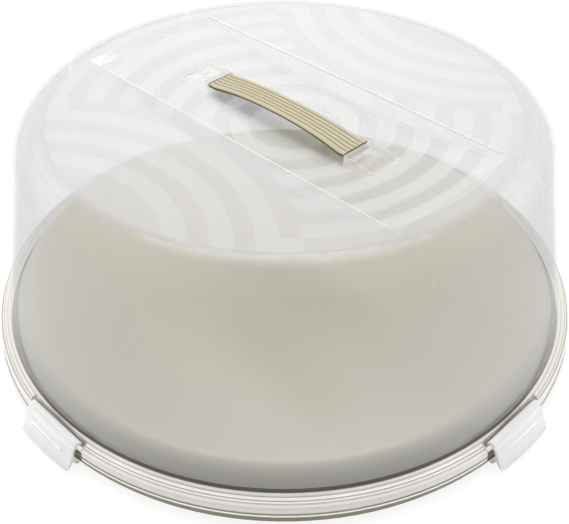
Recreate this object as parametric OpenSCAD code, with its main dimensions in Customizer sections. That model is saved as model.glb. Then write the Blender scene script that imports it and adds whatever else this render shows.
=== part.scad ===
// Round cake carrier: a low tray, a clear drafted dome with a scooped top and a strap handle,
// and four flap latches on hinge bars in the dome's flange. Millimetres, +Z up, and the origin
// is on the surface that the tray stands on, below the tray's centre.

/* [Dome] */
// Diameter of the dome's wall at its foot, outside
foot_d = 335.8; // [325:0.2:345]
// Height of the top plate above the flange's lower edge
lid_h = 132; // [115:0.5:150]
// Thickness of the clear wall
lid_wall = 1.8; // [1.6:0.1:2]
// Lean of the wall away from upright, in degrees
wall_draft = 10.4; // [8:0.1:12]
// Outside radius where the wall turns into the top plate
corner_r = 17.4; // [12:0.2:20]

/* [Flange] */
// Width of the flange outside the wall's foot
flange_w = 7.1; // [6.9:0.1:7.6]
// Height of the wall's foot above the flange's lower edge
flange_h = 11.2; // [10.8:0.1:12]
// Fall of the flange's stepped top from the wall to its rounded edge
flange_drop = 2.3; // [1.8:0.1:2.6]
// Radius of the flange's outer top edge
edge_r = 1.4; // [1:0.1:1.8]
// Extra width inside the flange's lower edge, where it stands on the tray
seat_w = 1; // [0.8:0.1:1.2]
// Height of the bead along the flange's lower edge
skirt_bead_h = 2.4; // [1.6:0.1:3]

/* [Scoop in the top plate] */
// Length of the scoop, along the handle
scoop_l = 236; // [225:1:240]
// Width of the scoop, across the handle
scoop_w = 88.8; // [80:0.2:96]
// Depth of the scoop in the middle
scoop_depth = 11.2; // [10:0.1:12]

/* [Handle] */
// Length of the strap between its two anchors
handle_l = 105.2; // [95:0.2:115]
// Length of the level stretch at each end of the strap
handle_level_l = 5; // [3:0.5:8]
// Width of the strap at its ends
handle_end_w = 18.2; // [17:0.1:20]
// Width of the strap at its waist
handle_waist_w = 16; // [13:0.1:17.5]
// Thickness of the strap in the middle
handle_mid_t = 2; // [1.8:0.1:2.4]
// Thickness of the strap at its ends
handle_end_t = 2.6; // [2.4:0.1:2.9]
// Rise of the strap's top from its ends to its middle
handle_arch = 3.5; // [3:0.1:5]
// Depth of the strap's ends below the top plate
handle_sink = 4.2; // [3.9:0.1:4.5]
// Number of grooves along the strap
groove_count = 5; // [3:1:6]
// Width of a groove
groove_w = 0.7; // [0.5:0.1:0.9]
// Depth of a groove
groove_depth = 0.5; // [0.3:0.1:0.7]
// Length of the tongue at each end of the strap
tongue_l = 5; // [4:0.1:6]
// Thickness of a tongue
tongue_t = 1.2; // [1:0.1:1.3]
// Width of a tongue
tongue_w = 14.6; // [12:0.1:15]

/* [Handle anchors] */
// Length of a moulded anchor along the handle
anchor_l = 20; // [18:0.2:22]
// Width of an anchor
anchor_w = 20.8; // [20:0.1:22]
// Height of an anchor's edge at its tip, above the scoop's floor
anchor_tip_h = 1.6; // [1:0.1:2]
// Length of the level part of an anchor's top, over the slot
anchor_level_l = 8; // [7.5:0.1:9]
// Length and width of the window in an anchor's slope
anchor_window = 5; // [3:0.1:6]

/* [Tray] */
// Height of the ledge that the flange stands on
ledge_h = 6; // [5.5:0.1:7]
// Thickness of the tray's wall
tray_t = 2.4; // [2.2:0.1:2.6]
// Height of the platform that carries the cake
platform_h = 26; // [23:0.2:28]
// Radius of the platform's rounded edge
platform_r = 11; // [8:0.2:12]
// Height of the gutter's floor round the platform
gutter_h = 8.4; // [8.1:0.1:8.8]
// Radius at the gutter's inner corner
gutter_r = 1; // [0.6:0.1:1.4]
// Depth of the bead at the tray's outer edge
tray_bead_h = 3.4; // [3:0.1:3.8]
// Inset of the foot from the bead
foot_inset = 1.3; // [1.1:0.1:1.4]

/* [Latches] */
// Width of a latch
latch_w = 41.5; // [36:0.5:46]
// Thickness of a latch's flap
flap_t = 1.8; // [1.6:0.1:2]
// Diameter of a hinge bar
bar_d = 2.6; // [2.4:0.1:2.8]
// Thickness of the knuckle round a hinge bar
knuckle_t = 1.1; // [1:0.1:1.2]
// Reach of a latch's shoulder outside the flange
shoulder_out = 2.2; // [1.9:0.1:2.6]
// Radius of a latch's shoulder
shoulder_round = 1.2; // [0.8:0.1:1.4]
// Outward lean of a latch's flap below its shoulder
flap_lean = 2.6; // [2:0.1:3]
// Reach of a latch's finger lip outside the flange
lip_out = 7.6; // [6.5:0.1:9]
// Height of the finger lip's edge above the surface that the tray stands on
lip_h = 1.4; // [1:0.1:2]
// Height at which the flap turns out into the finger lip
flare_h = 7.2; // [6.8:0.1:7.8]
// Length of the raised bar on a latch
grip_l = 27; // [24:0.5:32]
// Thickness of the raised bar, up and down
grip_t = 1.2; // [1:0.1:1.6]
// Height of the raised bar above the flap
grip_out = 0.5; // [0.3:0.1:0.8]
// Radius of a flap's lower corners
flap_corner_r = 2.4; // [1.6:0.1:4]
// Thickness of the hook leg inside a latch
hook_t = 1.5; // [1.3:0.1:1.7]

/* [Clearances] */
// Radial gap between a hinge bar and its knuckle
bar_gap = 0.06; // [0.04:0.01:0.1]
// Gap between the dome's wall and a knuckle
knuckle_gap = 2; // [1.8:0.1:2.2]
// Gap between a knuckle and the tray's rim below it
rim_gap = 0.7; // [0.5:0.1:0.9]
// Gap between the flange's skirt and the tray's rim
skirt_gap = 1.8; // [1.4:0.1:2]
// Inset of the tray's bead from the flange's edge
bead_inset = 1.1; // [0.9:0.1:1.3]
// Gap between the platform's edge and the dome's wall
platform_gap = 2.1; // [1.6:0.1:2.6]
// Gap between a latch and each end of its cut-out
latch_side_gap = 3.2; // [2.4:0.1:3.6]
// Gap between a hook leg and the tray's bead
hook_gap = 0.3; // [0.25:0.05:0.5]
// Gap round a handle tongue in its slot
tongue_gap = 0.2; // [0.15:0.05:0.3]
// Gap between the strap's end and its anchor
strap_gap = 0.8; // [0.6:0.1:1]

/* [Hidden] */
$fn = 144;

clear_plastic = [0.88, 0.90, 0.92, 0.45];
milky_plastic = [0.94, 0.95, 0.97, 0.8];
cream_plastic = [0.87, 0.85, 0.77];
khaki_rubber = [0.76, 0.71, 0.54];

// Radii from the dome's wall outwards and inwards
foot_r = foot_d / 2;
flange_r = foot_r + flange_w;
skirt_in_r = flange_r - lid_wall;
rim_out_r = skirt_in_r - skirt_gap;
rim_in_r = rim_out_r - tray_t;
bead_r = flange_r - bead_inset;
tray_foot_r = bead_r - foot_inset;
platform_out_r = foot_r - lid_wall / cos(wall_draft) - platform_gap;

// Heights
foot_z = ledge_h + flange_h;
plate_z = ledge_h + lid_h;
edge_z = foot_z - flange_drop;
under_z = edge_z - lid_wall;

// The centre of the corner arc, tangent to the drafted wall and to the plate
corner_z = plate_z - corner_r;
corner_c = foot_r - (corner_r + (corner_z - foot_z) * sin(wall_draft)) / cos(wall_draft);

// The hinge bars, under the level of the wall's foot
latch_count = 4;
bar_r = bar_d / 2;
knuckle_r = bar_r + bar_gap + knuckle_t;
hinge_u = foot_r + knuckle_gap + knuckle_r;
hinge_z = foot_z - knuckle_r;
rim_h = hinge_z - knuckle_r - rim_gap;
cut_w = latch_w + 2 * latch_side_gap;
end_wall_t = lid_wall;

// The handle's ends
handle_end_z = plate_z - handle_sink;
handle_half = handle_l / 2;
anchor_s = handle_half + strap_gap;
tongue_z = handle_end_z - handle_end_t;
handle_steps = 28;
swell_power = 2.3;
scoop_steps = 32;
scoop_power = 2.6;

// Small shared sizes: past a cut, a bevel or overlap, and well past the part's edge
over = 5;
trim = 0.4;
far = 30;

// Segments in a wide arc and in a small one
wide_arc = 16;
small_arc = 6;

function arc(cx, cz, r, a0, a1, n) = [
    for (i = [0:n]) let (a = a0 + (a1 - a0) * i / n) [cx + r * cos(a), cz + r * sin(a)]
];
function reversed(p) = [for (i = [len(p) - 1:-1:0]) p[i]];

// The wall's radius at height z, pushed in by t
function wall_r(z, t) = foot_r - (z - foot_z) * tan(wall_draft) - t / cos(wall_draft);

// The dome's section from the axis to the wall's foot, pushed in by t
function dome_skin(t, foot) = concat(
    [[0, plate_z - t]],
    arc(corner_c, corner_z, corner_r - t, 90, wall_draft, wide_arc),
    [[wall_r(foot, t), foot]]
);

// The flange's top goes down in shallow steps; a tread's edges lie at these shares of a step's drop
step_count = 3;
step_run = (flange_w - edge_r) / step_count;
step_drop = flange_drop / step_count;
tread_in = 0.33;
tread_out = 0.5;
riser_w = 0.2;
function flange_top() = [
    for (i = [0:step_count - 1]) each [
        [foot_r + i * step_run + riser_w, foot_z - (i + tread_in) * step_drop],
        [foot_r + (i + 1) * step_run, foot_z - (i + tread_out) * step_drop],
    ]
];

// The flange's rounded outer edge, its skirt and the bead along the bottom
bead_z = ledge_h + skirt_bead_h;
bead_in = 0.35;
function flange_edge() = concat(
    arc(flange_r - edge_r - bead_in, edge_z - edge_r, edge_r, 90, 0, small_arc),
    [
        [flange_r - bead_in, bead_z + bead_in],
        [flange_r, bead_z],
        [flange_r, ledge_h + bead_in],
        [flange_r - bead_in, ledge_h],
    ]
);

module dome_section() {
    polygon(concat(
        dome_skin(0, foot_z),
        flange_top(),
        flange_edge(),
        [
            [skirt_in_r - seat_w, ledge_h],
            [skirt_in_r - seat_w, ledge_h + seat_w],
            [skirt_in_r, ledge_h + 2 * seat_w],
            [skirt_in_r, under_z],
        ],
        reversed(dome_skin(lid_wall, under_z))
    ));
}

// Height of the scoop's floor at distance s along the handle
function scoop_floor(s) = plate_z - scoop_depth * (1 - pow(abs(2 * s / scoop_l), scoop_power));
function scoop_line(t) = [
    for (i = [0:scoop_steps]) let (s = scoop_l * (i / scoop_steps - 0.5)) [s, scoop_floor(s) - t]
];

// A slab with outline p in the plane of the handle's length and +Z, w wide
module slab(p, w) {
    rotate([90, 0, 0]) linear_extrude(w, center = true) polygon(p);
}

module scoop_pan() {
    top = plate_z - lid_wall / 2;
    slab(concat(
        [[-scoop_l / 2 - lid_wall, top], [-scoop_l / 2 - lid_wall, scoop_floor(scoop_l / 2) - lid_wall]],
        scoop_line(lid_wall),
        [[scoop_l / 2 + lid_wall, scoop_floor(scoop_l / 2) - lid_wall], [scoop_l / 2 + lid_wall, top]]
    ), scoop_w + 2 * lid_wall);
}

module scoop_void() {
    slab(concat(
        [[-scoop_l / 2, plate_z + over]],
        scoop_line(0),
        [[scoop_l / 2, plate_z + over]]
    ), scoop_w);
}

// One anchor, with the slot for a tongue and a window in its slope
module anchor() {
    tip = anchor_s + anchor_l;
    tip_z = scoop_floor(tip) + anchor_tip_h;
    level = anchor_s + anchor_level_l;
    level_z = handle_end_z - trim;
    mid_z = (level_z + tip_z) / 2;
    mid_s = (level + tip) / 2;
    sink = lid_wall / 2;
    difference() {
        slab([
            [anchor_s, scoop_floor(anchor_s) - sink],
            [anchor_s, handle_end_z],
            [level, level_z],
            [tip, tip_z],
            [tip, scoop_floor(tip) - sink],
        ], anchor_w);
        translate([anchor_s - over, -tongue_w / 2 - tongue_gap, tongue_z - tongue_gap])
            cube([over + tongue_l + tongue_gap, tongue_w + 2 * tongue_gap, tongue_t + 2 * tongue_gap]);
        translate([mid_s - anchor_window / 2, -anchor_window / 2, mid_z - lid_wall / 2])
            cube([anchor_window, anchor_window, over]);
    }
}

// The flange's full section, for the walls that close its ends at a cut-out
module end_wall_section() {
    polygon(concat(
        [[foot_r - lid_wall / 2, foot_z]],
        flange_top(),
        flange_edge(),
        [
            [rim_out_r + trim, ledge_h],
            [rim_out_r + trim, rim_h + trim],
            [foot_r - lid_wall / 2, rim_h + trim],
        ]
    ));
}

// Sets a child out for each latch, the first one towards +X
module each_latch() {
    for (i = [0:latch_count - 1]) rotate([0, 0, i * 360 / latch_count]) children();
}

module cut_box(w) {
    translate([foot_r + trim / 2, -w / 2, 0]) cube([far, w, foot_z + over]);
}

// A round rod of radius r and length w on the hinge line
module hinge_rod(r, w) {
    translate([hinge_u, 0, hinge_z]) rotate([90, 0, 0]) cylinder(r = r, h = w, center = true);
}

module end_walls() {
    intersection() {
        rotate_extrude() end_wall_section();
        union() {
            for (side = [-1, 1])
                translate([foot_r - far, side * (cut_w + end_wall_t) / 2 - end_wall_t / 2, 0])
                    cube([2 * far, end_wall_t, foot_z + over]);
        }
    }
}

module lid_dome() {
    color(clear_plastic) {
        difference() {
            union() {
                rotate_extrude() dome_section();
                scoop_pan();
            }
            scoop_void();
            each_latch() cut_box(cut_w);
        }
        each_latch() end_walls();
        each_latch() hinge_rod(bar_r, cut_w + end_wall_t);
        for (turn = [0, 180]) rotate([0, 0, turn]) anchor();
    }
}

module base_tray() {
    arc_c = platform_out_r - platform_r;
    arc_z = platform_h - platform_r;
    bead_low = ledge_h - tray_bead_h;
    color(cream_plastic) rotate_extrude() polygon(concat(
        [[0, platform_h]],
        arc(arc_c, arc_z, platform_r, 90, 0, wide_arc),
        arc(platform_out_r + gutter_r, gutter_h + gutter_r, gutter_r, 180, 270, small_arc),
        [
            [rim_in_r - trim, gutter_h],
            [rim_in_r, gutter_h + trim],
            [rim_in_r, rim_h - trim],
            [rim_in_r + trim, rim_h],
            [rim_out_r - trim, rim_h],
            [rim_out_r, rim_h - trim],
            [rim_out_r, ledge_h],
            [bead_r - trim, ledge_h],
            [bead_r, ledge_h - trim],
            [bead_r, bead_low],
            [tray_foot_r, bead_low - trim],
            [tray_foot_r, trim],
            [tray_foot_r - trim, 0],
            [tray_foot_r - tray_t, 0],
            [tray_foot_r - tray_t, gutter_h - tray_t],
            [platform_out_r - tray_t, gutter_h - tray_t],
        ],
        arc(arc_c, arc_z, platform_r - tray_t, 0, 90, wide_arc),
        [[0, platform_h - tray_t]]
    ));
}

// Half the strap's width, and the heights of its top and underside, at distance s from its middle
function strap_half(s) = (handle_waist_w + (handle_end_w - handle_waist_w) * pow(s / handle_half, 2)) / 2;
function swell(s) = 1 - pow(min(1, abs(s) / (handle_half - handle_level_l)), swell_power);
function strap_top(s) = handle_end_z + handle_arch * swell(s);
function strap_low(s) = strap_top(s) - handle_end_t - (handle_mid_t - handle_end_t) * swell(s);
function strap_s(i) = handle_half * (2 * i / handle_steps - 1);

function strap_tops(rise) = [for (i = [0:handle_steps]) [strap_s(i), strap_top(strap_s(i)) + rise]];
function strap_lows() = [for (i = [0:handle_steps]) [strap_s(i), strap_low(strap_s(i))]];

// A strip of the strap's plan between two shares of its width, -1 to 1, widened by w
module strap_strip(a, b, w) {
    translate([0, 0, scoop_floor(0)]) linear_extrude(far) polygon(concat(
        [for (i = [0:handle_steps]) [strap_s(i), a * strap_half(strap_s(i)) - w]],
        [for (i = [handle_steps:-1:0]) [strap_s(i), b * strap_half(strap_s(i)) + w]]
    ));
}

module carry_handle() {
    color(khaki_rubber) {
        difference() {
            intersection() {
                slab(concat(strap_tops(0), reversed(strap_lows())), handle_end_w + over);
                strap_strip(-1, 1, 0);
            }
            for (i = [1:groove_count]) {
                share = 2 * i / (groove_count + 1) - 1;
                intersection() {
                    slab(concat(strap_tops(over), reversed(strap_tops(-groove_depth))), handle_end_w);
                    strap_strip(share, share, groove_w / 2);
                }
            }
        }
        for (side = [-1, 1])
            translate([side * (handle_half + (tongue_l - trim) / 2), 0, tongue_z + tongue_t / 2])
                cube([tongue_l + trim, tongue_w, tongue_t], center = true);
    }
}

// The flap's section: out over the flange, down its edge, and out again into the finger lip
shoulder_r = flange_r + shoulder_out;
shoulder_z = edge_z;
flare_r = shoulder_r + flap_lean;
lip_r = flange_r + lip_out;
lip_round = 0.7;
lip_lean = 40;
shoulder_lean = 60;
flare_mitre = 25;
function shoulder_arc() = arc(
    shoulder_r - shoulder_round, shoulder_z - shoulder_round, shoulder_round, shoulder_lean, 0, small_arc
);
function lip_arc() = arc(
    lip_r - lip_round, lip_h + lip_round, lip_round, lip_lean, lip_lean - 180, small_arc
);

module flap_section() {
    polygon(concat(
        [[hinge_u, hinge_z + knuckle_r]],
        shoulder_arc(),
        [[flare_r, flare_h]],
        lip_arc(),
        [
            [flare_r - flap_t, flare_h - flap_t * tan(flare_mitre)],
            [shoulder_r - flap_t, shoulder_z - shoulder_round],
            [hinge_u, hinge_z],
        ]
    ));
}

// The leg that hooks the latch to the tray's bead
module hook_section() {
    toe = bead_r + hook_gap;
    root = flare_r - flap_t / 2;
    polygon([
        [root - hook_t, flare_h + 2 * hook_t],
        [root, flare_h],
        [toe + hook_t, lip_h + trim],
        [toe + hook_t - trim, lip_h],
        [toe, lip_h],
        [toe, ledge_h - tray_bead_h],
    ]);
}

// The flap's outline seen from outside: square at the hinge, rounded at the lip
module flap_outline() {
    r = flap_corner_r;
    low = lip_h - trim;
    translate([-latch_w / 2, low + r]) square([latch_w, foot_z + over]);
    translate([r - latch_w / 2, low]) square([latch_w - 2 * r, r + trim]);
    for (side = [-1, 1]) translate([side * (latch_w / 2 - r), low + r]) circle(r);
}

// The knuckle's mouth, a share of the bar's width, faces in and down, where it snaps over the bar
mouth_share = 0.8;
mouth_turn = 30;
latch_sweep = 30;

module latch() {
    grip_z = (shoulder_z - shoulder_round + flare_h - grip_t) / 2;
    grip_r = shoulder_r + flap_lean / 2;
    mouth_w = bar_d * mouth_share;
    color(milky_plastic) difference() {
        union() {
            intersection() {
                rotate([0, 0, -latch_sweep / 2]) rotate_extrude(angle = latch_sweep) union() {
                    flap_section();
                    hook_section();
                }
                translate([foot_r, 0, 0]) rotate([90, 0, 90]) linear_extrude(far) flap_outline();
            }
            hinge_rod(knuckle_r, latch_w);
            translate([grip_r - grip_t, -grip_l / 2, grip_z]) cube([grip_t + grip_out, grip_l, grip_t]);
        }
        hinge_rod(bar_r + bar_gap, latch_w + over);
        translate([hinge_u, 0, hinge_z]) rotate([0, -mouth_turn, 0])
            translate([-over, 0, 0]) cube([2 * over, latch_w + over, mouth_w], center = true);
    }
}

// The latch at quarter turn n round the carrier
module latch_at(n) {
    rotate([0, 0, n * 360 / latch_count]) latch();
}

base_tray();
lid_dome();
carry_handle();
latch_at(0);  // latch_right
latch_at(1);  // latch_back
latch_at(2);  // latch_left
latch_at(3);  // latch_front
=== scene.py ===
import math

import bmesh
import bpy
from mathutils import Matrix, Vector


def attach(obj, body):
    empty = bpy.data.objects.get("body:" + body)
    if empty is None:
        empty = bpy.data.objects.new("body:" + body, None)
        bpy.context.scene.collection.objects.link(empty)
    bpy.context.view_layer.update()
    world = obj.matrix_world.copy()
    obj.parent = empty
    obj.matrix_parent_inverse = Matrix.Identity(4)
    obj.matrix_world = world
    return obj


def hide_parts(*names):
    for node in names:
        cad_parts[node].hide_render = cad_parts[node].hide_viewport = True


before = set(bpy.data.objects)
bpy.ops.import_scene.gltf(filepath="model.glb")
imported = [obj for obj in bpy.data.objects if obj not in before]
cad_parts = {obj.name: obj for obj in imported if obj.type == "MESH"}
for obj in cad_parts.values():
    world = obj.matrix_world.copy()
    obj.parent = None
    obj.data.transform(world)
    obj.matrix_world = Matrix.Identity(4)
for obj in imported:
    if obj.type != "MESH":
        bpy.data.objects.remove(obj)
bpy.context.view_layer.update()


# Sizes of the carrier that its finishes follow, in metres. A pair is where a mark begins and ends.

# Softness of the finest lines
FINE = 0.0002

# The dome's top is all that is above this height. The plate's haze, partly a painted reflection of the light
# above, ends at this radius, this softly.
TOP_Z = 0.1180
PLATE_R = 0.1312
PLATE_SOFT = 0.0036
# Creases round the plate: two radii and the softness of each
CREASES = ((0.1279, 0.1292, 0.0005), (0.1368, 0.1380, 0.0006))
# Scoop: half width, half length and how softly that ends
SCOOP_HALF_W = 0.0446
SCOOP_HALF_L = 0.1180
SCOOP_SOFT = 0.012
# Its upright sides, painted darker as shade: places across, greatest height and how softly that ends
SCOOP_SIDE = (0.0442, 0.0466)
SCOOP_SIDE_Z = 0.1362
SCOOP_SIDE_SOFT = 0.0004
# Its upper edge, with a painted highlight: places across, least height, half length and how softly that ends
BRIM = (0.0438, 0.0450)
BRIM_Z = 0.1372
BRIM_HALF_L = 0.1120
BRIM_SOFT = 0.008
# Handle anchors: half width, places of their ends, and least height
ANCHOR_HALF_W = 0.0104
ANCHOR_SPAN = (0.0534, 0.0734)
ANCHOR_Z = 0.1240
# The painted highlight lines along their sides, how far these run, and the painted highlight lines along
# their ends
ANCHOR_SIDE = (0.0099, 0.0105)
ANCHOR_SIDE_SPAN = (0.0530, 0.0738)
ANCHOR_ENDS = ((0.0533, 0.0538), (0.0730, 0.0736))
# Painted shade, a dark line at the foot of the wall: least radius, and heights
FOOT_R = 0.1668
FOOT_SHADE_LINE = (0.0171, 0.0198)
# Flange: least radius and greatest height
FLANGE_R = 0.1676
FLANGE_Z = 0.0174
# The risers of its steps, painted with shade, its fine ring lines (one radius, pitch and width), and the
# least height of each
RISERS = ((0.1697, 0.1700), (0.1716, 0.1719), (0.1729, 0.1734))
RISERS_Z = 0.0140
RING_LINES = (0.1693, 0.0014, 0.0004)
RING_LINES_Z = 0.0120
# Skirt: least radius, and the heights of its seam, painted with shade, and of its bead, painted with a
# highlight. The strip is all under the bead, and painted with shade.
SKIRT_R = 0.1735
SEAM = (0.0083, 0.0093)
BEAD = (0.0072, 0.0083)

# Frosted rings in the middle of the top: centre, one ring's radius with their pitch and width, least radius
RING_CENTRE = (0.0055, 0.0025)
RINGS = (0.0712, 0.0202, 0.0103)
RINGS_FROM = 0.024
# Frosted arcs to the front and the back: centres, one arc's radius with their pitch and width, radii
ARC_CENTRES = ((0.0025, 0.1805), (0.0025, -0.1805))
ARCS = (0.0771, 0.0207, 0.011)
ARCS_SPAN = (0.0705, 0.1255)
# Distance of the rings from the arcs' centres, the band between rings and arcs, and where that is frosted
RINGS_BEYOND = 0.1345
BETWEEN = (0.1235, 0.1350)
BETWEEN_R = 0.119
# Greatest radius of the frosting, and the scoop's sides, which have none
FROST_R = 0.129
BARE_SIDE = (0.0443, 0.0465)

# Tray: radii of the platform's edge, painted grey as shade, and of the gutter, painted darker as shade, the
# gutter's height, and least radii and height of what is outside the gutter and of the ledge, painted lighter
# as light in its shade
EDGE = (0.1590, 0.1660)
GUTTER = (0.1600, 0.1692)
GUTTER_Z = 0.0115
OUTSIDE_R = 0.1693
LEDGE_R = 0.1708
LEDGE_Z = 0.0058
# How far the platform's edge turns to the grey of its painted shade, 0 to 1
EDGE_SHADE_GREY = 0.55


# Shader helpers

def group(name, inputs, outputs):
    """A new shader node group, with its input and output nodes."""
    g = bpy.data.node_groups.new(name, "ShaderNodeTree")
    for label, kind, value in inputs:
        g.interface.new_socket(name=label, in_out="INPUT", socket_type=kind).default_value = value
    for label, kind in outputs:
        g.interface.new_socket(name=label, in_out="OUTPUT", socket_type=kind)
    return g, g.nodes.new("NodeGroupInput"), g.nodes.new("NodeGroupOutput")


def math_node(tree, op, a, b=None, c=None, clamp=False):
    """A Math node on sockets or plain numbers; returns its output."""
    n = tree.nodes.new("ShaderNodeMath")
    n.operation = op
    n.use_clamp = clamp
    for i, v in enumerate((a, b, c)):
        if v is None:
            continue
        if isinstance(v, (int, float)):
            n.inputs[i].default_value = v
        else:
            tree.links.new(v, n.inputs[i])
    return n.outputs[0]


def band(tree, v, low, high, soft=0.0003):
    """1 between two values and 0 outside them, with a soft edge."""
    off = math_node(tree, "ABSOLUTE", math_node(tree, "SUBTRACT", v, (low + high) / 2))
    start = ((high - low) / 2 + soft) * 0.5 / soft
    return math_node(tree, "MULTIPLY_ADD", off, -0.5 / soft, start, clamp=True)


def beyond(tree, v, edge, soft=0.0003):
    """1 above a value and 0 below it."""
    return math_node(tree, "MULTIPLY_ADD", v, 0.5 / soft, (soft - edge) * 0.5 / soft, clamp=True)


def within(tree, v, edge, soft=0.0003):
    """1 below a value and 0 above it."""
    return math_node(tree, "MULTIPLY_ADD", v, -0.5 / soft, (soft + edge) * 0.5 / soft, clamp=True)


def product(tree, *masks):
    """Where all the masks are 1."""
    out = masks[0]
    for m in masks[1:]:
        out = math_node(tree, "MULTIPLY", out, m)
    return out


def either(tree, *masks):
    """Where any of the masks is 1."""
    out = masks[0]
    for m in masks[1:]:
        out = math_node(tree, "MAXIMUM", out, m)
    return out


def distance(tree, flat, x, y):
    """Distance of a place in plan from a centre, in metres."""
    n = tree.nodes.new("ShaderNodeVectorMath")
    n.operation = "DISTANCE"
    tree.links.new(flat, n.inputs[0])
    n.inputs[1].default_value = (x, y, 0)
    return n.outputs["Value"]


def stripes(tree, v, centre, pitch, width):
    """Even stripes across a distance, one of them centred on a given value."""
    off = math_node(tree, "PINGPONG", math_node(tree, "SUBTRACT", v, centre), pitch / 2)
    return within(tree, off, width / 2)


def make_moulded_grain():
    """Fine moulded grain and a slow change of tone, on Object coordinates in metres."""
    g, gi, go = group(
        "moulded_grain",
        [("Grain Size", "NodeSocketFloat", 1600.0), ("Tone Size", "NodeSocketFloat", 14.0)],
        [("Grain", "NodeSocketFloat"), ("Tone", "NodeSocketFloat")],
    )
    place = g.nodes.new("ShaderNodeTexCoord").outputs["Object"]
    for size, detail, out in (("Grain Size", 3.0, "Grain"), ("Tone Size", 2.0, "Tone")):
        noise = g.nodes.new("ShaderNodeTexNoise")
        g.links.new(place, noise.inputs["Vector"])
        g.links.new(gi.outputs[size], noise.inputs["Scale"])
        noise.inputs["Detail"].default_value = detail
        g.links.new(noise.outputs["Fac"], go.inputs[out])
    return g


def plan(tree):
    """Object coordinates: x, y and z apart, the place in plan, and the radius from the middle."""
    place = tree.nodes.new("ShaderNodeTexCoord").outputs["Object"]
    cut = tree.nodes.new("ShaderNodeSeparateXYZ")
    tree.links.new(place, cut.inputs[0])
    flat = tree.nodes.new("ShaderNodeCombineXYZ")
    tree.links.new(cut.outputs["X"], flat.inputs["X"])
    tree.links.new(cut.outputs["Y"], flat.inputs["Y"])
    return (*cut.outputs, flat.outputs[0], distance(tree, flat.outputs[0], 0, 0))


def make_frosted_bands():
    """The frosted ornament of the top plate: rings in the middle, and arcs to the front and the back."""
    g, _, go = group("frosted_bands", [], [("Frost", "NodeSocketFloat")])
    _, y, z, flat, radius = plan(g)
    middle = distance(g, flat, *RING_CENTRE)
    rings = product(g, stripes(g, middle, *RINGS), beyond(g, middle, RINGS_FROM))
    side = math_node(g, "MINIMUM", *(distance(g, flat, *centre) for centre in ARC_CENTRES))
    arcs = product(g, stripes(g, side, *ARCS), beyond(g, side, ARCS_SPAN[0]), within(g, side, ARCS_SPAN[1]))
    between = product(g, band(g, side, *BETWEEN), beyond(g, radius, BETWEEN_R))
    inner = product(g, rings, beyond(g, side, RINGS_BEYOND))
    top = beyond(g, z, TOP_Z)
    upright = band(g, math_node(g, "ABSOLUTE", y), *BARE_SIDE)
    scoop_side = product(g, upright, within(g, z, SCOOP_SIDE_Z, SCOOP_SIDE_SOFT))
    level = math_node(g, "SUBTRACT", 1.0, scoop_side)
    frost = product(g, either(g, arcs, between, inner), within(g, radius, FROST_R), top, level)
    g.links.new(frost, go.inputs["Frost"])
    return g


def make_dome_zones():
    """Where the clear dome is hazy, thick, stepped or edged: plate, scoop, creases, flange and anchors; and
    where highlights and shade are painted on it.
    """
    names = (
        "Plate", "Scoop", "Scoop Side Shade", "Crease", "Edges", "Foot Shade", "Flange", "Streaks", "Groove Shade",
        "Bead Highlight", "Strip", "Anchors",
    )
    g, _, go = group("dome_zones", [], [(n, "NodeSocketFloat") for n in names])
    x, y, z, _, radius = plan(g)
    ax = math_node(g, "ABSOLUTE", x)
    ay = math_node(g, "ABSOLUTE", y)
    high = beyond(g, z, TOP_Z)
    anchor_high = beyond(g, z, ANCHOR_Z)
    zones = {}
    zones["Plate"] = product(g, within(g, radius, PLATE_R, PLATE_SOFT), high)
    zones["Scoop"] = product(g, within(g, ay, SCOOP_HALF_W), within(g, ax, SCOOP_HALF_L, SCOOP_SOFT), high)
    below_plate = within(g, z, SCOOP_SIDE_Z, SCOOP_SIDE_SOFT)
    zones["Scoop Side Shade"] = product(g, band(g, ay, *SCOOP_SIDE), below_plate, high)
    zones["Crease"] = product(g, either(g, *(band(g, radius, *crease) for crease in CREASES)), high)
    brim = product(g, band(g, ay, *BRIM), beyond(g, z, BRIM_Z), within(g, ax, BRIM_HALF_L, BRIM_SOFT))
    sides = product(g, band(g, ay, *ANCHOR_SIDE), band(g, ax, *ANCHOR_SIDE_SPAN))
    ends = either(g, *(band(g, ax, *end) for end in ANCHOR_ENDS))
    ends = product(g, ends, within(g, ay, ANCHOR_SIDE[1]))
    zones["Anchors"] = product(g, within(g, ay, ANCHOR_HALF_W), band(g, ax, *ANCHOR_SPAN), anchor_high)
    # painted highlights along the scoop's upper edge and the anchors' edges
    zones["Edges"] = either(g, brim, product(g, either(g, sides, ends), anchor_high))
    zones["Foot Shade"] = product(g, beyond(g, radius, FOOT_R, FINE), band(g, z, *FOOT_SHADE_LINE, FINE))
    zones["Flange"] = product(g, beyond(g, radius, FLANGE_R), within(g, z, FLANGE_Z))
    ring_lines = stripes(g, radius, *RING_LINES)
    zones["Streaks"] = product(g, ring_lines, zones["Flange"], beyond(g, z, RING_LINES_Z))
    risers = either(g, *(band(g, radius, *riser) for riser in RISERS))
    grooves = product(g, risers, zones["Flange"], beyond(g, z, RISERS_Z))
    skirt = beyond(g, radius, SKIRT_R)
    zones["Groove Shade"] = either(g, grooves, product(g, band(g, z, *SEAM, FINE), skirt))
    zones["Bead Highlight"] = product(g, band(g, z, *BEAD, FINE), skirt)
    zones["Strip"] = product(g, within(g, z, BEAD[0], FINE), skirt)
    for name, mask in zones.items():
        g.links.new(mask, go.inputs[name])
    return g


def place_group(tree, g, **values):
    """A node group placed in a material, with its own values."""
    n = tree.nodes.new("ShaderNodeGroup")
    n.node_tree = g
    for k, v in values.items():
        n.inputs[k].default_value = v
    return n


def new_material(name):
    """A material, its node tree and its Principled shader."""
    m = bpy.data.materials.new(name)
    m.use_nodes = True
    tree = m.node_tree
    return m, tree, tree.nodes["Principled BSDF"]


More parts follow.
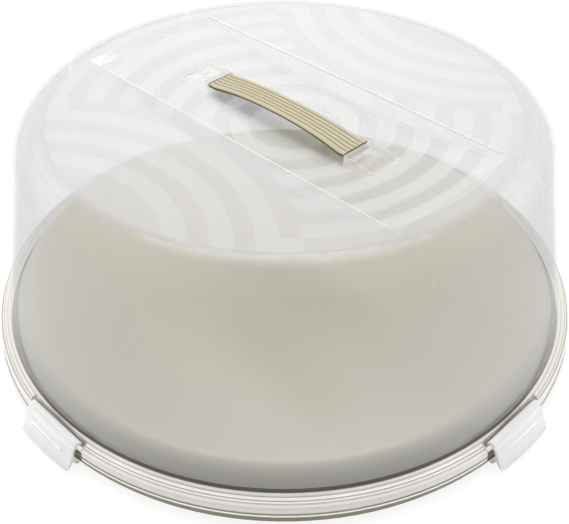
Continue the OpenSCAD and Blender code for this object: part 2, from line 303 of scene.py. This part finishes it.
def tone(tree, fac, dark, light):
    """A colour between two, by a factor."""
    n = tree.nodes.new("ShaderNodeMix")
    n.data_type = "RGBA"
    n.inputs["A"].default_value = (*dark, 1)
    n.inputs["B"].default_value = (*light, 1)
    tree.links.new(fac, n.inputs["Factor"])
    return n.outputs["Result"]


def blend(tree, fac, under, over):
    """A colour turned towards another by a mask."""
    n = tree.nodes.new("ShaderNodeMix")
    n.data_type = "RGBA"
    tree.links.new(fac, n.inputs["Factor"])
    tree.links.new(under, n.inputs["A"])
    n.inputs["B"].default_value = (*over, 1)
    return n.outputs["Result"]


def bump(tree, height, shader, strength, depth):
    """Relief that doesn't move the surface, with its depth in metres."""
    n = tree.nodes.new("ShaderNodeBump")
    n.inputs["Strength"].default_value = strength
    n.inputs["Distance"].default_value = depth
    tree.links.new(height, n.inputs["Height"])
    tree.links.new(n.outputs["Normal"], shader.inputs["Normal"])


def lin(r, g, b):
    """A colour written 0 to 255 as on a screen, in linear light."""
    return tuple(((c / 255 + 0.055) / 1.055) ** 2.4 if c > 10 else c / 255 / 12.92 for c in (r, g, b))


# The strap: half length, level part of each end, height of its top at the ends, arch, and the arch's shape
STRAP_HALF = 0.0526
STRAP_LEVEL = 0.0050
STRAP_END_Z = 0.1338
STRAP_ARCH = 0.0035
STRAP_SWELL = 2.3
# Its width and thickness at the ends and in the middle
STRAP_END_W = 0.0182
STRAP_WAIST_W = 0.0160
STRAP_END_T = 0.0026
STRAP_MID_T = 0.0020
# Its pieces along the length, the depth below which its sides are painted with shade, and where its ends
# painted with shade begin
STRAP_STEPS = 56
STRAP_SHADE_DEPTH = 0.0008
STRAP_SHADED_END = 0.05235
# Down to this depth its section is the same all along, and below it follows the thickness
STRAP_SAME_DEPTH = 0.0009
# Its grooves: how many, their pitch, and one groove's places across and depths
GROOVES = 5
GROOVE_PITCH = 0.00295
GROOVE = ((-0.00036, 0), (-0.00028, -0.00045), (0, -0.00055), (0.00028, -0.00045), (0.00036, 0))
# Its upper and lower edges: distances in from the side, and depths
STRAP_UPPER = ((0.0010, 0), (0.0004, -0.00012), (0.0001, -0.0004), (0, -0.0008))
STRAP_LOWER = ((0, -0.0019), (0.0003, -0.0024), (0.0008, -0.0026))
# Its tongues: size, how far their middles are past the strap's ends, and their height
TONGUE = (0.0036, 0.0146, 0.0012)
TONGUE_OUT = 0.0006
TONGUE_Z = 0.1318

# Latches: the width of their rounded edges, and the angle above which an edge is rounded
LATCH_ROUND = 0.00022
LATCH_SHARP = math.radians(32)


grain = make_moulded_grain()
frosted_bands = make_frosted_bands()
dome_zones = make_dome_zones()


def make_tray_plastic():
    """Satin cream, darker outside; greyer at the platform's edge and darker in the gutter as painted shade,
    and lighter on the ledge as painted light.
    """
    m, t, s = new_material("cream_tray_plastic")
    g = place_group(t, grain, **{"Grain Size": 1400.0, "Tone Size": 9.0})
    _, _, z, _, radius = plan(t)
    cream = tone(t, g.outputs["Tone"], lin(180, 176, 160), lin(186, 182, 167))
    # painted shade: the platform's rounded edge turns grey where it falls away from the light above
    edge = product(t, beyond(t, radius, EDGE[0], soft=0.0030), within(t, radius, EDGE[1], soft=0.0004))
    cream = blend(t, math_node(t, "MULTIPLY", edge, EDGE_SHADE_GREY), cream, lin(134, 134, 138))
    # painted shade: darker down in the gutter between the platform and the rim
    low = within(t, z, GUTTER_Z, soft=0.0040)
    gutter = product(t, beyond(t, radius, GUTTER[0], soft=0.0020), low, within(t, radius, GUTTER[1]))
    cream = blend(t, gutter, cream, lin(158, 153, 138))
    cream = blend(t, beyond(t, radius, OUTSIDE_R), cream, lin(143, 136, 115))
    # painted light: the ledge, in shade beside the latches, is painted lighter
    ledge = product(t, beyond(t, radius, LEDGE_R), beyond(t, z, LEDGE_Z, FINE))
    t.links.new(blend(t, ledge, cream, lin(194, 186, 163)), s.inputs["Base Color"])
    s.inputs["Roughness"].default_value = 0.34
    s.inputs["Specular IOR Level"].default_value = 0.5
    bump(t, g.outputs["Grain"], s, strength=0.03, depth=0.00006)
    return m


# Opacity of the dome's plain wall seen straight on, and what a slanting view adds
CLEAR_HAZE = 0.03
SLANT_HAZE = 0.40
# What the frosting adds, what it adds again in the scoop, and what the painted shade, a dark line at the
# wall's foot, adds
FROST_HAZE = 0.01
SCOOP_FROST_HAZE = 0.10
FOOT_SHADE_HAZE = 0.85
# Least and greatest opacity, and the part of it that throws no shade
HAZE_RANGE = (0.02, 0.96)
HAZE_LETS_PAST = 0.8
# Painted glow of the flange's bead, and of the latches
BEAD_GLOW = 0.22
LATCH_GLOW = 0.08
# How much each zone of the dome adds to its opacity, for each of the wall's two faces
DOME_HAZE = {
    "Plate": 0.35,
    "Scoop": -0.16,
    "Scoop Side Shade": -0.32,
    "Crease": 0.05,
    "Edges": 0.16,
    "Flange": 0.70,
    "Streaks": 0.10,
    "Groove Shade": 0.20,
    "Bead Highlight": 0.40,
    "Strip": 0.40,
    "Anchors": -0.13,
}


def make_clear_plastic():
    """Clear plastic: hazy on the top plate, frosted in bands, white where it is thick, with painted
    highlights on its edges and bead and painted shade at its foot, in its grooves and on its strip.
    """
    m, t, s = new_material("clear_dome_plastic")
    frost = place_group(t, frosted_bands).outputs["Frost"]
    zones = place_group(t, dome_zones).outputs
    # the plate is lighter than the wall, partly for its haze and partly as a painted reflection of the light
    # above
    colour = tone(t, zones["Plate"], lin(194, 194, 197), lin(212, 210, 211))
    layers = (
        (zones["Scoop"], (200, 202, 200)),
        (frost, (218, 217, 217)),
        # painted shade on the scoop's upright sides
        (zones["Scoop Side Shade"], (186, 186, 192)),
        (zones["Flange"], (250, 248, 245)),
        (zones["Streaks"], (214, 211, 207)),
        # painted shade: the dark line at the wall's foot
        (zones["Foot Shade"], (72, 66, 52)),
        # painted shade: olive in the flange's risers and seam, and on the strip under the bead
        (either(t, zones["Groove Shade"], zones["Strip"]), (146, 139, 120)),
        # painted highlights: white on the edges and the bead
        (either(t, zones["Edges"], zones["Bead Highlight"]), (252, 250, 244)),
    )
    for mask, over in layers:
        colour = blend(t, mask, colour, lin(*over))
    # the bead's painted highlight also glows a little
    t.links.new(tone(t, zones["Bead Highlight"], (0, 0, 0), (1, 0.98, 0.93)), s.inputs["Emission Color"])
    s.inputs["Emission Strength"].default_value = BEAD_GLOW
    t.links.new(colour, s.inputs["Base Color"])
    s.inputs["Roughness"].default_value = 0.1
    s.inputs["Specular IOR Level"].default_value = 0.7
    slant = t.nodes.new("ShaderNodeLayerWeight")
    slant.inputs["Blend"].default_value = 0.30
    haze = math_node(t, "MULTIPLY_ADD", slant.outputs["Facing"], SLANT_HAZE, CLEAR_HAZE)
    haze = math_node(t, "MULTIPLY_ADD", frost, FROST_HAZE, haze)
    haze = math_node(t, "MULTIPLY_ADD", product(t, frost, zones["Scoop"]), SCOOP_FROST_HAZE, haze)
    for zone, more in DOME_HAZE.items():
        haze = math_node(t, "MULTIPLY_ADD", zones[zone], more, haze)
    # the painted shade, a dark line at the foot of the wall, shows from outside only
    outside = math_node(t, "SUBTRACT", 1.0, t.nodes.new("ShaderNodeNewGeometry").outputs["Backfacing"])
    haze = math_node(t, "MULTIPLY_ADD", product(t, zones["Foot Shade"], outside), FOOT_SHADE_HAZE, haze)
    haze = math_node(t, "MAXIMUM", math_node(t, "MINIMUM", haze, HAZE_RANGE[1]), HAZE_RANGE[0])
    # haze passes most light on, so that the shade behind it is only a part of its opacity
    shadow_ray = t.nodes.new("ShaderNodeLightPath").outputs["Is Shadow Ray"]
    shade = math_node(t, "MULTIPLY_ADD", shadow_ray, -HAZE_LETS_PAST, 1.0)
    t.links.new(product(t, haze, shade), s.inputs["Alpha"])
    return m


def make_handle_rubber():
    """Matt khaki rubber, with painted shade down its sides and at its two ends."""
    m, t, s = new_material("khaki_handle_rubber")
    g = place_group(t, grain, **{"Grain Size": 2200.0, "Tone Size": 40.0})
    x, _, z, _, _ = plan(t)
    khaki = tone(t, g.outputs["Tone"], lin(184, 174, 145), lin(193, 184, 156))
    out = math_node(t, "ABSOLUTE", x)
    along = math_node(t, "MINIMUM", math_node(t, "DIVIDE", out, STRAP_HALF - STRAP_LEVEL), 1.0)
    drop = math_node(t, "MULTIPLY", math_node(t, "POWER", along, STRAP_SWELL), STRAP_ARCH)
    depth = math_node(t, "SUBTRACT", math_node(t, "SUBTRACT", STRAP_END_Z + STRAP_ARCH, drop), z)
    # painted shade down the strap's sides, below a depth under its arched top
    khaki = blend(t, beyond(t, depth, STRAP_SHADE_DEPTH, soft=0.0001), khaki, lin(84, 76, 50))
    # painted shade on the strap's ends, in the gaps at the anchors
    end = beyond(t, out, STRAP_SHADED_END, soft=0.0001)
    t.links.new(blend(t, end, khaki, lin(84, 74, 48)), s.inputs["Base Color"])
    s.inputs["Roughness"].default_value = 0.6
    bump(t, g.outputs["Grain"], s, strength=0.25, depth=0.0002)
    return m


def make_latch_plastic():
    """Milky plastic that lets a little light through, with a weak painted glow."""
    m, t, s = new_material("milky_latch_plastic")
    g = place_group(t, grain, **{"Grain Size": 1800.0, "Tone Size": 60.0})
    milky = tone(t, g.outputs["Tone"], lin(246, 247, 249), lin(251, 251, 252))
    t.links.new(milky, s.inputs["Base Color"])
    s.inputs["Roughness"].default_value = 0.25
    s.inputs["Subsurface Weight"].default_value = 0.8
    s.inputs["Subsurface Radius"].default_value = (1.0, 1.0, 1.0)
    s.inputs["Subsurface Scale"].default_value = 0.006
    # painted glow, as if light came through the milky plastic
    s.inputs["Emission Color"].default_value = (1, 1, 1, 1)
    s.inputs["Emission Strength"].default_value = LATCH_GLOW
    s.inputs["Alpha"].default_value = 0.9
    bump(t, g.outputs["Grain"], s, strength=0.1, depth=0.0002)
    return m


tray_plastic = make_tray_plastic()
clear_plastic = make_clear_plastic()
handle_rubber = make_handle_rubber()
latch_plastic = make_latch_plastic()


def paint(node, material):
    """Gives a CAD node its better material."""
    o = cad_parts[node]
    for s in o.material_slots:
        s.material = material


paint("base_tray", tray_plastic)
paint("lid_dome", clear_plastic)


def place(name, bm, material, body, slot, replaced):
    """Makes a finished mesh a piece of the carrier that stands for a CAD node."""
    bmesh.ops.recalc_face_normals(bm, faces=bm.faces)
    for f in bm.faces:
        f.smooth = True
    me = bpy.data.meshes.new(name)
    bm.to_mesh(me)
    bm.free()
    me.materials.append(material)
    me.set_sharp_from_angle(angle=math.radians(50))
    o = bpy.data.objects.new(name, me)
    bpy.context.scene.collection.objects.link(o)
    o.modifiers.new("even_faces", "WEIGHTED_NORMAL").keep_sharp = True
    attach(o, body)
    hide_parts(replaced)


# Latches: the CAD latch with its edges rounded

def make_latch(side):
    """The CAD's latch of one side, with its edges rounded."""
    bm = bmesh.new()
    bm.from_mesh(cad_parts["latch_" + side].data)
    bmesh.ops.remove_doubles(bm, verts=bm.verts, dist=2e-6)
    bmesh.ops.dissolve_limit(bm, angle_limit=math.radians(1.0), verts=bm.verts, edges=bm.edges)
    sharp = [e for e in bm.edges if len(e.link_faces) == 2 and e.calc_face_angle() > LATCH_SHARP]
    bmesh.ops.bevel(
        bm, geom=sharp, offset=LATCH_ROUND, offset_type="OFFSET", affect="EDGES",
        segments=2, profile=0.5, material=-1, clamp_overlap=True,
    )
    place("milky_latch_" + side, bm, latch_plastic, side + "_latch", "latch_plastic", "latch_" + side)


for side in ("right", "back", "left", "front"):
    make_latch(side)


# Handle: a grooved rubber strap with rounded edges and a tongue at each end

def strap_section():
    """Points round the strap's section, from its left upper edge over the grooves: place across and depth."""
    top = []
    for i in range(GROOVES):
        y = (i - GROOVES // 2) * GROOVE_PITCH
        top += [(y + across, depth) for across, depth in GROOVE]
    w = STRAP_END_W / 2
    edge = [(w - inwards, depth) for inwards, depth in STRAP_UPPER]
    left = [(-y, z) for y, z in reversed(edge)]
    low = [(w - inwards, depth) for inwards, depth in STRAP_LOWER]
    return left + top + edge + low + [(-y, z) for y, z in reversed(low)]


def make_strap():
    """The strap's section drawn out along it, then narrowed, thinned and arched towards the middle."""
    bm = bmesh.new()
    ring = [bm.verts.new((-STRAP_HALF, y, z)) for y, z in strap_section()]
    face = bm.faces.new(ring)
    for i in range(STRAP_STEPS):
        made = bmesh.ops.extrude_face_region(bm, geom=[face])["geom"]
        verts = [v for v in made if isinstance(v, bmesh.types.BMVert)]
        old = face
        face = [f for f in made if isinstance(f, bmesh.types.BMFace)][0]
        if i:
            bmesh.ops.delete(bm, geom=[old], context="FACES_ONLY")
        bmesh.ops.translate(bm, verts=verts, vec=(2 * STRAP_HALF / STRAP_STEPS, 0, 0))
    for v in bm.verts:
        swell = 1 - min(1.0, abs(v.co.x) / (STRAP_HALF - STRAP_LEVEL)) ** STRAP_SWELL
        lower = v.co.z
        if lower <= -STRAP_SAME_DEPTH:
            thick = STRAP_END_T + (STRAP_MID_T - STRAP_END_T) * swell
            lower = lower / STRAP_END_T * thick
        v.co.y *= (STRAP_END_W + (STRAP_WAIST_W - STRAP_END_W) * swell) / STRAP_END_W
        v.co.z = STRAP_END_Z + STRAP_ARCH * swell + lower
    for end in (-1, 1):
        tongue = bmesh.ops.create_cube(bm, size=1)["verts"]
        bmesh.ops.scale(bm, verts=tongue, vec=TONGUE)
        bmesh.ops.translate(bm, verts=tongue, vec=(end * (STRAP_HALF + TONGUE_OUT), 0, TONGUE_Z))
    place("grooved_strap", bm, handle_rubber, "lid", "handle_rubber", "carry_handle")


make_strap()


# Floor, lamps, world and camera

# Brightness of the floor, what it gains far from the middle, how far out that is and how softly it comes
FLOOR_GLOW = 0.84
FLOOR_GAIN = 0.10
FLOOR_FAR_R = 1.3
FLOOR_FAR_SOFT = 0.9
# Strength of the world's light on the object; where it is seen, its strength is 1
WORLD_LIGHT = 0.22


def seen_directly(tree):
    """1 for what the camera sees, also in gloss or through plastic, and 0 for the light on the object."""
    path = tree.nodes.new("ShaderNodeLightPath").outputs
    return either(tree, path["Is Camera Ray"], path["Is Transmission Ray"], path["Is Glossy Ray"])


def make_floor():
    """A pale floor that shows white, and shines a little more far from the middle."""
    bm = bmesh.new()
    bmesh.ops.create_grid(bm, x_segments=1, y_segments=1, size=6)
    me = bpy.data.meshes.new("floor")
    bm.to_mesh(me)
    bm.free()
    o = bpy.data.objects.new("floor", me)
    bpy.context.scene.collection.objects.link(o)
    m, t, s = new_material("white_floor")
    s.inputs["Base Color"].default_value = (0.22, 0.22, 0.22, 1)
    s.inputs["Roughness"].default_value = 0.9
    s.inputs["Specular IOR Level"].default_value = 0.0
    seen = seen_directly(t)
    s.inputs["Emission Color"].default_value = (1, 1, 1, 1)
    far = beyond(t, plan(t)[-1], FLOOR_FAR_R, FLOOR_FAR_SOFT)
    level = math_node(t, "MULTIPLY_ADD", far, FLOOR_GAIN, FLOOR_GLOW)
    t.links.new(product(t, seen, level), s.inputs["Emission Strength"])
    me.materials.append(m)


def area_light(name, place, aim, size, power, mirrored=False):
    """A round lamp; one that isn't mirrored leaves no spot in glossy plastic."""
    data = bpy.data.lights.new(name, "AREA")
    data.shape = "DISK"
    data.size = size
    data.energy = power
    o = bpy.data.objects.new(name, data)
    o.location = place
    o.rotation_euler = (Vector(aim) - Vector(place)).to_track_quat("-Z", "Y").to_euler()
    o.visible_glossy = mirrored
    bpy.context.scene.collection.objects.link(o)


def make_world():
    """Soft light from all sides, which shows white."""
    w = bpy.data.worlds.new("studio")
    w.use_nodes = True
    bpy.context.scene.world = w
    t = w.node_tree
    back = t.nodes["Background"]
    back.inputs["Color"].default_value = (1, 1, 1, 1)
    strength = math_node(t, "MULTIPLY_ADD", seen_directly(t), 1 - WORLD_LIGHT, WORLD_LIGHT)
    t.links.new(strength, back.inputs["Strength"])


def make_camera():
    """The camera at the photograph's angle, from the front right and above."""
    data = bpy.data.cameras.new("camera")
    data.sensor_width = 36
    data.lens = 60.13
    data.shift_y = -0.013
    o = bpy.data.objects.new("camera", data)
    o.location = (0.3229, -0.3229, 0.4025)
    o.rotation_euler = (math.radians(50.93), 0, math.radians(45))
    bpy.context.scene.collection.objects.link(o)
    bpy.context.scene.camera = o


make_floor()
make_world()
area_light("overhead", (-0.30, 0.30, 1.15), aim=(0, 0, 0.05), size=0.9, power=13, mirrored=True)
area_light("front_left", (-0.35, -1.25, 0.20), aim=(0, 0, 0.02), size=0.36, power=8)
area_light("front_right", (1.30, 0.20, 0.20), aim=(0, 0, 0.02), size=0.36, power=7)
area_light("left_side", (-1.10, -0.62, 0.34), aim=(0, 0, 0.03), size=0.6, power=3.4)
area_light("right_side", (1.05, 0.90, 0.34), aim=(0, 0, 0.03), size=0.6, power=3.4)
make_camera()

bpy.context.scene.view_settings.view_transform = "Standard"
